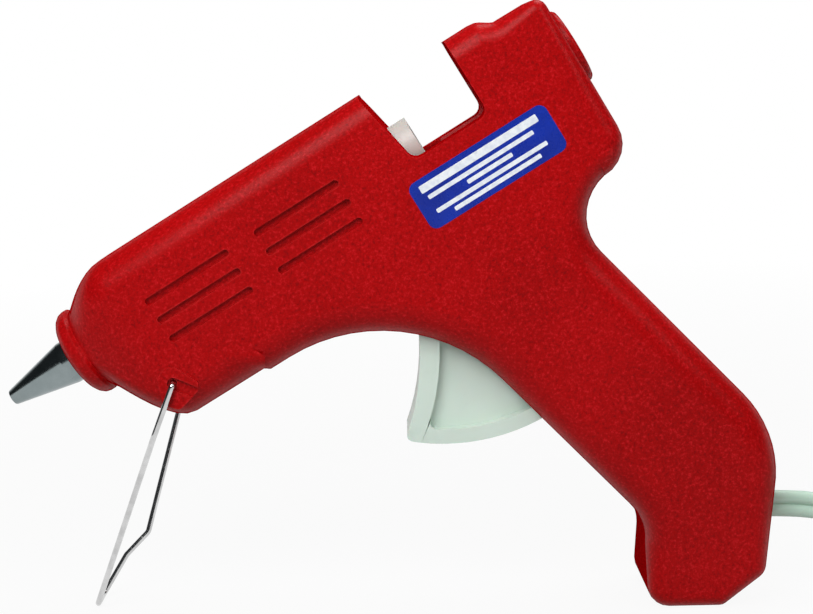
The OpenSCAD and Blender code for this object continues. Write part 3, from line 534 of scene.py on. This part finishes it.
def tube(path, section, side, roll=None):
    """A closed tube: the section goes along the path without twist, and roll(point's number) turns it."""
    bm = bmesh.new()
    path = [Vector(p) for p in path]
    carried = Vector(side)
    rings = []
    for i, point in enumerate(path):
        along = (path[min(i + 1, len(path) - 1)] - path[max(i - 1, 0)]).normalized()
        carried = (carried - carried.dot(along) * along).normalized()
        turn = Matrix.Rotation(roll(i), 3, along) if roll else Matrix.Identity(3)
        across, out = turn @ carried, turn @ along.cross(carried)
        rings.append([bm.verts.new(point + across * a + out * b) for a, b in section])
    for low, high in zip(rings, rings[1:]):
        for i in range(len(section)):
            k = (i + 1) % len(section)
            bm.faces.new((low[i], low[k], high[k], high[i]))
    bm.faces.new(list(reversed(rings[0])))
    bm.faces.new(rings[-1])
    bmesh.ops.recalc_face_normals(bm, faces=bm.faces)
    return bm


def round_section(radius, sides):
    angles = [FULL_TURN * k / sides for k in range(sides)]
    return [(radius * math.cos(a), radius * math.sin(a)) for a in angles]


def rounded_plate(length, height, corner, steps):
    """A flat face about the origin, with rounded corners."""
    bm = bmesh.new()
    bmesh.ops.create_grid(bm, x_segments=1, y_segments=1, size=0.5)
    bmesh.ops.scale(bm, vec=(length, height, 1), verts=bm.verts)
    bmesh.ops.bevel(
        bm, geom=bm.verts[:], offset=corner, offset_type="OFFSET", segments=steps, profile=0.5,
        affect="VERTICES", material=-1,
    )
    return bm


def draw_out(bm, faces, way):
    """The faces drawn out along a way; gives the corners that moved."""
    grown = bmesh.ops.extrude_face_region(bm, geom=faces)
    moved = [g for g in grown["geom"] if isinstance(g, bmesh.types.BMVert)]
    bmesh.ops.translate(bm, verts=moved, vec=way)
    return moved


def merge(bm, part):
    """One bmesh added to another and used up."""
    mesh = bpy.data.meshes.new("part")
    part.to_mesh(mesh)
    part.free()
    bm.from_mesh(mesh)
    bpy.data.meshes.remove(mesh)


# Cord: flat twin flex, from its clamp in the foot down to the floor, folded into a hank, and on to the plug

CORD_W, CORD_T, CORD_Z, EXIT_Z, LAYER = 7.1, 3.56, 4.65, 23.3, 7.9
CORE_ARC, CORE_STEP, GROOVE = 150, 20, 0.4
HANK_FROM, HANK_RUN, HANK_SIDE, FOLD_IN, FOLD_OUT = 124.0, 64.0, -16.6, 21.3, 26.3
HANK_X, HANK_Y = HANK_FROM + HANK_RUN / 2, HANK_SIDE + FOLD_OUT
CLIMB_FROM, CLIMB_SHARE = 0.2, 0.6
SWAY_FROM, SWAY_RUN = 34, 70
TAIL_RUN, TAIL_STEPS, PLUG_Z = 33.0, 16, 6.5
# (x, z) points of the free stretch
FREE = [
    (4, EXIT_Z), (14, EXIT_Z), (24, EXIT_Z), (34, 22.5), (44, 20), (54, 16), (64, 11.5), (74, 7.5),
    (81, 5.6), (88, CORD_Z), (98, CORD_Z), (112, CORD_Z), (HANK_FROM, CORD_Z),
]
# each fold's radius and the layers that it starts and ends in; the far end and the near end take turns
FOLDS = [
    (FOLD_OUT, 0, 1), (FOLD_OUT, 1, 1), (FOLD_OUT, 1, 2), (FOLD_OUT, 2, 2),
    (FOLD_IN, 2, 2), (FOLD_IN, 2, 1), (FOLD_IN, 1, 1), (FOLD_IN, 1, 0), (FOLD_IN, 0, 0),
]


def eased(f):
    """A share from 0 to 1 with a gentle start and end."""
    f = min(1, max(0, f))
    return f * f * (3 - 2 * f)


def through(points, steps):
    """A smooth curve through the points."""
    p = [Vector(q) for q in points]
    p = [2 * p[0] - p[1]] + p + [2 * p[-1] - p[-2]]
    made = []
    for a, b, c, d in zip(p, p[1:], p[2:], p[3:]):
        slope, bend, twist = c - a, 2 * a - 5 * b + 4 * c - d, 3 * b - a - 3 * c + d
        for k in range(steps):
            t = k / steps
            made.append(0.5 * (2 * b + slope * t + bend * t ** 2 + twist * t ** 3))
    return made + [p[-2]]


def fold_points(number, steps=24):
    """One fold of the hank, a half circle at its far or near end."""
    radius, low, high = FOLDS[number]
    side = 1 if number % 2 == 0 else -1
    end_x = HANK_X + side * HANK_RUN / 2
    made = []
    for k in range(steps + 1):
        f = k / steps
        angle = math.radians(180 * f - 90 * side)
        z = CORD_Z + LAYER * (low + (high - low) * eased((f - CLIMB_FROM) / CLIMB_SHARE))
        made.append(Vector((end_x + radius * math.cos(angle), HANK_Y + radius * math.sin(angle), z)))
    return made


def run_points(start, end, steps=6):
    """The inner points of a run between two folds, which eases from one column to the next."""
    made = []
    for k in range(1, steps):
        f = k / steps
        point = start.lerp(end, f)
        point.y = start.y + (end.y - start.y) * eased(f)
        made.append(point)
    return made


def cord_route():
    """The path of the cord, and the place in it where the tail begins to roll flat."""
    path = through([(x, HANK_SIDE * eased((x - SWAY_FROM) / SWAY_RUN), z) for x, z in FREE], steps=3)
    for number in range(len(FOLDS)):
        fold = fold_points(number)
        path += run_points(path[-1], fold[0]) + fold
    end = Vector((HANK_FROM, HANK_Y + FOLD_IN, CORD_Z))
    path += run_points(path[-1], end) + [end]
    tail_from = len(path) - 1
    for k in range(1, TAIL_STEPS + 1):
        f = k / TAIL_STEPS
        path.append(Vector((HANK_FROM - TAIL_RUN * f, end.y, CORD_Z + (PLUG_Z - CORD_Z) * eased(f))))
    return path, tail_from


def twin_section():
    """Two round cores side by side, joined by a thin web: (across, through) points."""
    reach, r = (CORD_W - CORD_T) / 2, CORD_T / 2
    angles = [math.radians(a) for a in range(-CORE_ARC, CORE_ARC + 1, CORE_STEP)]
    half = [(reach + r * math.cos(a), r * math.sin(a)) for a in angles]
    valley = GROOVE * r
    return half + [(0, valley)] + [(-x, -y) for x, y in half] + [(0, -valley)]


route, tail_from = cord_route()
tail_points = len(route) - 1 - tail_from
cord = add_piece(
    "power_cord",
    tube(route, twin_section(), (0, 0, 1), lambda i: QUARTER_TURN * max(0, i - tail_from) / tail_points),
    "casing", [VINYL], ["cord_lead", "cord_coil", "cord_tail"], smooth=50,
)

# Plug: moulded body with a grip and a tapered relief, and two flat blades, drawn along Y from the cord's end

PLUG_LEN, PLUG_SIDES, PLUG_SQUARE = 24.0, 32, 3.2
BLADE_GAP, BLADE_W, BLADE_T, BLADE_OUT, BLADE_IN, BLADE_CORNER = 12.7, 6.35, 1.5, 17.0, 8.0, 1.2
AT_PLUG = (
    Matrix.Translation((HANK_FROM - TAIL_RUN, HANK_Y + FOLD_IN, PLUG_Z))
    @ Matrix.Rotation(QUARTER_TURN, 4, "Z")
)
# share of the length, half width, half thickness
PLUG_STEPS = [
    (0.0, 4.5, 2.9), (0.03, 5.0, 3.3), (0.07, 5.0, 3.3), (0.09, 4.5, 2.9), (0.12, 4.5, 2.9),
    (0.14, 5.2, 3.4), (0.18, 5.2, 3.4), (0.2, 4.7, 3.1), (0.23, 4.7, 3.1), (0.25, 5.5, 3.6),
    (0.3, 5.7, 3.7), (0.38, 8.6, 5.0), (0.46, 11.0, 6.1), (0.52, 11.7, 6.4), (0.58, 11.4, 6.1),
    (0.64, 11.7, 6.45), (0.70, 11.4, 6.1), (0.76, 11.75, 6.5), (0.82, 11.5, 6.2), (0.88, 11.9, 6.5),
    (0.97, 11.9, 6.5), (1.0, 11.2, 5.9),
]


def plug_form():
    """Grown from its back end forwards: relief, shoulder, grip and face."""
    bm = bmesh.new()
    bmesh.ops.create_circle(bm, cap_ends=True, segments=PLUG_SIDES, radius=1)
    bmesh.ops.rotate(bm, verts=bm.verts, cent=(0, 0, 0), matrix=Matrix.Rotation(-QUARTER_TURN, 3, "X"))
    end = bm.faces[:][0]
    around = [(v.co.x, v.co.z) for v in end.verts]
    for number, (share, wide, thick) in enumerate(PLUG_STEPS):
        if number:
            grown = bmesh.ops.extrude_face_region(bm, geom=[end])
            # the first face closes the back; the later ones would lie inside
            if number > 1:
                bm.faces.remove(end)
            end = [g for g in grown["geom"] if isinstance(g, bmesh.types.BMFace)][0]
        # between an ellipse and a box, as moulded plugs are; an extruded ring keeps its order
        for v, (x, z) in zip(end.verts, around):
            bulge = (abs(x) ** PLUG_SQUARE + abs(z) ** PLUG_SQUARE) ** (-1 / PLUG_SQUARE)
            v.co = (x * bulge * wide, share * PLUG_LEN, z * bulge * thick)
    bmesh.ops.recalc_face_normals(bm, faces=bm.faces)
    bm.transform(AT_PLUG)
    return bm


def blades_form():
    """Two flat blades with cut corners."""
    bm = bmesh.new()
    length = BLADE_OUT + BLADE_IN
    for side in (-1, 1):
        made = bmesh.ops.create_grid(bm, x_segments=1, y_segments=1, size=0.5)["verts"]
        bmesh.ops.scale(bm, vec=(BLADE_W, length, 1), verts=made)
        bmesh.ops.rotate(bm, verts=made, cent=(0, 0, 0), matrix=Matrix.Rotation(QUARTER_TURN, 3, "Y"))
        bmesh.ops.translate(
            bm, verts=made, vec=(side * BLADE_GAP / 2 - BLADE_T / 2, PLUG_LEN - BLADE_IN + length / 2, 0)
        )
    tips = [v for v in bm.verts if v.co.y > PLUG_LEN]
    bmesh.ops.bevel(
        bm, geom=tips, offset=BLADE_CORNER, offset_type="OFFSET", segments=3, profile=0.5, affect="VERTICES",
        material=-1,
    )
    draw_out(bm, bm.faces[:], (BLADE_T, 0, 0))
    bmesh.ops.recalc_face_normals(bm, faces=bm.faces)
    bm.transform(AT_PLUG)
    return bm


plug = add_piece("plug_moulding", plug_form(), "casing", [VINYL], ["plug_body"], smooth=30)
blades = add_piece("plug_pins", blades_form(), "casing", [BRASS], ["plug_blades"])
round_edges(blades, width_mm=0.2)

# Tie: a flat strap round one side of the hank

TIE_GAP, TIE_THICK, TIE_W, TIE_BEND = 0.4, 0.8, 6.0, 1.4


def tie_form():
    """The strap's loop with its rounded bends."""
    low, high = FOLD_IN - CORD_T / 2 - TIE_GAP, FOLD_OUT + CORD_T / 2 + TIE_GAP
    top = CORD_Z + 2 * LAYER + CORD_W / 2 + TIE_GAP
    bm = rounded_plate(high - low, top - TIE_THICK, TIE_BEND, steps=5)
    bmesh.ops.delete(bm, geom=bm.faces[:], context="FACES_ONLY")
    out = bmesh.ops.extrude_edge_only(bm, edges=bm.edges[:])
    moved = [g for g in out["geom"] if isinstance(g, bmesh.types.BMVert)]
    bmesh.ops.translate(bm, verts=moved, vec=(0, 0, TIE_W))
    bmesh.ops.recalc_face_normals(bm, faces=bm.faces)
    bmesh.ops.solidify(bm, geom=bm.faces[:], thickness=-TIE_THICK)
    bmesh.ops.recalc_face_normals(bm, faces=bm.faces)
    # its width along X, its loop in Y and Z
    bm.transform(Matrix((
        (0, 0, 1, -TIE_W / 2),
        (1, 0, 0, (low + high) / 2),
        (0, 1, 0, (top + TIE_THICK) / 2),
        (0, 0, 0, 1),
    )))
    bm.transform(Matrix.Translation((HANK_X, HANK_Y, 0)))
    return bm


tie = add_piece("hank_strap", tie_form(), "casing", [DARK], ["cord_tie"])
round_edges(tie, width_mm=0.2)

# Casing halves, trigger, carriage and rear bush: the frame's own forms with moulded edges

moulded("casing_near", "casing_half_near", "casing", RED, width_mm=0.3)
moulded("casing_far", "casing_half_far", "casing", RED, width_mm=0.3)
moulded("trigger", "trigger_lever", "trigger", PALE, width_mm=0.7)
moulded("feed_carriage", "stick_carriage", "carriage", CREAM, width_mm=0.25)
moulded("rear_bush", "rear_guide", "casing", RED, width_mm=0.2)

# Nozzle: a turned cone with a rounded tip, seated behind the casing's lip

# (u, radius) points, from the mouth over the tip and the cone, and back along the bore
NOZZLE = [
    (0.5, 1.0), (0.15, 1.15), (0, 1.4), (0, 1.75), (0.1, 1.98), (0.35, 2.14), (17.2, 5.8), (17.5, 5.85),
    (27, 5.85), (27, 3.55), (14, 3.55), (9, 1.0),
]
add_piece(
    "nozzle_cone", spun(NOZZLE, steps=96), "casing", [NOZZLE_METAL], ["nozzle"], in_gun=True,
    smooth=30,
)

# Stand: one bent wire, pinned in both sides of the casing, with a jog in its far leg

STAND_X, STAND_Z, STAND_PIN = -132.039, 62.409, 3.4
LEG_Y, FOOT_Z, FOOT_Y, KNEE, LEG_LEAN = 18.05, 0.75, 4.5, 13.0, math.radians(21.5)
LEG_RUN = (STAND_Z - FOOT_Z) * math.tan(LEG_LEAN)
JOG_Z, JOG_BACK, JOG_LOW_Z, JOG_LOW_BACK = 16.4, 5.8, 10.6, 2.2
WIRE_R, WIRE_SIDES = 0.75, 20
BENDS = [0.9, 4, 2, 2, 2.2, 2.2, 4, 0.9]


def leg_at(z, side, back=0.0):
    """A leg's place at a height: the legs lean forward and draw together towards the foot."""
    share = min(1, (z - FOOT_Z) / (STAND_Z - KNEE - FOOT_Z))
    x = STAND_X - LEG_RUN * (STAND_Z - z) / (STAND_Z - FOOT_Z) + back
    return (x, side * (FOOT_Y + (LEG_Y - FOOT_Y) * share), z)


def stand_path():
    """From the near pin down the straight leg, across the foot and up the far leg to its pin."""
    jog_top = leg_at(JOG_Z, 1, JOG_BACK)
    far_knee = STAND_X + (jog_top[0] - STAND_X) * (KNEE / (STAND_Z - JOG_Z))
    return rounded_path([
        (STAND_X, -HALF_W + STAND_PIN, STAND_Z), (STAND_X, -LEG_Y, STAND_Z), leg_at(STAND_Z - KNEE, -1),
        leg_at(FOOT_Z, -1), leg_at(FOOT_Z, 1), leg_at(JOG_LOW_Z, 1, JOG_LOW_BACK), jog_top,
        (far_knee, LEG_Y, STAND_Z - KNEE), (STAND_X, LEG_Y, STAND_Z), (STAND_X, HALF_W - STAND_PIN, STAND_Z),
    ], BENDS)


add_piece(
    "wire_stand", tube(stand_path(), round_section(WIRE_R, WIRE_SIDES), (1, 0, 0)), "stand",
    [CHROME], ["stand"], smooth=60,
)

# Label: a film with rounded corners and plain printed stripes

LABEL_U, LABEL_V, LABEL_LEN, LABEL_H, LABEL_CORNER = 117.1, -20.05, 39.5, 12.95, 2.2
FILM_OUT, FILM_THICK, INK_OUT, INK_THICK, STRIPE_CORNER = 0.05, 0.045, 0.06, 0.03, 0.3
# from the left, from the bottom, length, height
STRIPES = [
    (2.6, 9.4, 33.8, 2), (3.4, 7.3, 30.4, 1.1), (13.6, 5.4, 13, 1.1), (3.4, 3.3, 32, 1.1),
    (7.5, 1.4, 25, 1.1),
]


def film_patch(u, v, length, height, corner, out, thick, index):
    """A thin patch with rounded corners, its outer face standing out from the casing's near side."""
    patch = rounded_plate(length, height, corner, steps=6)
    bmesh.ops.rotate(patch, verts=patch.verts, cent=(0, 0, 0), matrix=Matrix.Rotation(QUARTER_TURN, 3, "X"))
    bmesh.ops.translate(patch, verts=patch.verts, vec=(u + length / 2, -HALF_W - out, v + height / 2))
    bmesh.ops.recalc_face_normals(patch, faces=patch.faces)
    draw_out(patch, patch.faces[:], (0, thick, 0))
    bmesh.ops.recalc_face_normals(patch, faces=patch.faces)
    for face in patch.faces:
        face.material_index = index
    return patch


label = bmesh.new()
merge(label, film_patch(LABEL_U, LABEL_V, LABEL_LEN, LABEL_H, LABEL_CORNER, FILM_OUT, FILM_THICK, 0))
for left, low, length, height in STRIPES:
    u, v = LABEL_U + left, LABEL_V + low
    merge(label, film_patch(u, v, length, height, STRIPE_CORNER, INK_OUT, INK_THICK, 1))
add_piece("label_film", label, "casing", [BLUE, INK], ["label_plate"], in_gun=True)

# Return spring: a round wire in place of the frame's faceted one

SPRING_FROM, SPRING_TO, SPRING_V, SPRING_R, SPRING_WIRE = 127.0, 143.0, -9.3, 2.3, 0.8
SPRING_TURNS, SPRING_STEPS = 11, 24


def spring_path():
    """Turns about the spring's axis, with a straight end on either side."""
    run = SPRING_TO - SPRING_FROM - 2 * SPRING_WIRE
    points = [Vector((SPRING_FROM, 0, SPRING_V + SPRING_R))]
    count = SPRING_STEPS * SPRING_TURNS
    for k in range(count + 1):
        a = FULL_TURN * k / SPRING_STEPS
        u = SPRING_FROM + SPRING_WIRE + run * k / count
        points.append(Vector((u, SPRING_R * math.sin(a), SPRING_V + SPRING_R * math.cos(a))))
    return points + [Vector((SPRING_TO, 0, SPRING_V + SPRING_R))]


spring = add_piece(
    "pull_spring", tube(spring_path(), round_section(SPRING_WIRE / 2, sides=10), (0, 0, 1)), None,
    [STEEL], ["return_spring"], in_gun=True, smooth=60,
)
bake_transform(spring)

# Screws: pan heads with a cross recess, entered from the far side

SCREWS = [(46, -23), (42, 13), (104, 13), (157.8, -22), (146.63, -71.42), (127.41, -132.76)]
SCREW_TOP, SCREW_LEN, SCREW_SIDES = 15.6, 24.6, 32
CROSS_HALF, CROSS_REACH, CROSS_DEEP, CROSS_TAPER, HEAD_FLAT = 0.38, 1.4, 1.2, 0.6, 1.9
# (radius, z) rings from the flat of the head down the shank
SCREW_RINGS = [(2.3, -0.2), (2.55, -0.6), (2.6, -1.0), (2.6, -2.0), (1.5, -2.001), (1.5, -SCREW_LEN)]


def ring_on(bm, edges, radius, z):
    """The ring of edges drawn on to a new radius and height about the Z axis."""
    grown = bmesh.ops.extrude_edge_only(bm, edges=edges)["geom"]
    for v in grown:
        if isinstance(v, bmesh.types.BMVert):
            flat = Vector((v.co.x, v.co.y, 0)).normalized() * radius
            v.co = (flat.x, flat.y, z)
    made = [e for e in grown if isinstance(e, bmesh.types.BMEdge)]
    return [e for e in made if e.verts[0].co.z == e.verts[1].co.z]


def screw_form():
    """One screw along Z with its top at 0: a tapered cross sunk in a domed head, and a plain shank."""
    bm = bmesh.new()
    bmesh.ops.create_grid(bm, x_segments=3, y_segments=3, size=0.5)
    # the grid's inner lines become the arms' sides, and its outer ones their ends
    for v in bm.verts:
        v.co = [math.copysign(CROSS_HALF if abs(c) < 0.3 else CROSS_REACH, c) if c else 0 for c in v.co]
    centres = {f: f.calc_center_median() for f in bm.faces}
    corners = [f for f, c in centres.items() if min(abs(c.x), abs(c.y)) > CROSS_HALF]
    bmesh.ops.delete(bm, geom=corners, context="FACES")
    cross = bm.faces[:]
    edge = [e for e in bm.edges if len(e.link_faces) == 1]
    rim = bmesh.ops.create_circle(bm, segments=SCREW_SIDES, radius=HEAD_FLAT)["verts"]
    ring = [e for e in bm.edges if e.verts[0] in rim]
    bmesh.ops.triangle_fill(bm, edges=edge + ring, use_beauty=True)
    floor = draw_out(bm, cross, (0, 0, -CROSS_DEEP))
    bmesh.ops.delete(bm, geom=cross, context="FACES")
    bmesh.ops.scale(bm, vec=(CROSS_TAPER, CROSS_TAPER, 1), verts=floor)
    for radius, z in SCREW_RINGS:
        ring = ring_on(bm, ring, radius, z)
    bmesh.ops.holes_fill(bm, edges=ring, sides=0)
    bmesh.ops.recalc_face_normals(bm, faces=bm.faces)
    return bm


screws = bmesh.new()
for u, v in SCREWS:
    screw = screw_form()
    screw.transform(Matrix.Translation((u, SCREW_TOP, v)) @ Matrix.Rotation(-QUARTER_TURN, 4, "X"))
    merge(screws, screw)
add_piece("casing_screw_set", screws, "casing", [STEEL], ["casing_screws"], in_gun=True, smooth=30)

# Inner leads, from the splices in the foot up the handle and along the barrel to the electrodes

LEAD_R, LEAD_SIDES, LEAD_OUT = 1.02, 14, 11
SPLICE_X, SPLICE_OFF = (-4, -6), 2.4
TAB_V, TAB_OFF = -14, 1.5
# x, share of the way out to the side, height above the cord's exit
HANDLE_WAY = [(-8, 0.15, 1.4), (-12, 0.35, 6), (-15, 0.7, 12), (-18, 0.95, 18), (-23, 1, 25)]
# u, v
BARREL_WAY = [(130, -65), (133, -50), (131, -40), (125, -34), (114, -31.5), (102, -26), (92, -19)]
# u, share of the way out to the side
TAB_WAY = [(85, 0.7), (80, 0.3), (76, 0.22)]


def lead_path(side):
    """One lead's path, on the near side (-1) or the far side (1)."""
    out = side * LEAD_OUT
    points = [Vector((x, 0, EXIT_Z - SPLICE_OFF * side)) for x in SPLICE_X]
    points += [Vector((x, out * share, EXIT_Z + up)) for x, share, up in HANDLE_WAY]
    points += [TO_REST @ Vector((u, out, v)) for u, v in BARREL_WAY]
    points += [TO_REST @ Vector((u, out * share, TAB_V - TAB_OFF * side)) for u, share in TAB_WAY]
    return through(points, steps=4)


for name, node, side in (("live_wire", "lead_live", -1), ("neutral_wire", "lead_neutral", 1)):
    form = tube(lead_path(side), round_section(LEAD_R, LEAD_SIDES), (0, 0, 1))
    add_piece(name, form, "casing", [JACKET], [node], smooth=60)

# Inlet sleeve: a turned silicone tube over the melt chamber's end

# (u, radius) points
SLEEVE = [
    (78.96, 7.65), (78.96, 9.2), (79.1, 9.5), (79.4, 9.6), (99.9, 9.6), (100.5, 9.3), (100.9, 8.7),
    (100.96, 8.5), (100.96, 6.3), (100.7, 6.0), (86.26, 6.0), (86.26, 7.65),
]
add_piece(
    "entry_sleeve", spun(SLEEVE, steps=64), "casing", [SILICONE], ["inlet_sleeve"], in_gun=True,
    smooth=30,
)

# Frame nodes that keep their form: their finishes

FINISHES = {
    "nose_insulator": TAN, "melt_chamber": CAST, "heater_tile": CERAMIC,
    "electrode_upper": BRASS, "electrode_lower": BRASS, "heater_film": FILM,
    "sleeve_clamp": STEEL, "stick_gripper": STEEL, "gripper_pin": STEEL, "trigger_pin": STEEL,
    "cord_clamp": WHITE, "clamp_screws": STEEL, "splices": STEEL,
}
for name, material in FINISHES.items():
    slots = nodes[name].data.materials
    slots.clear()
    slots.append(material)
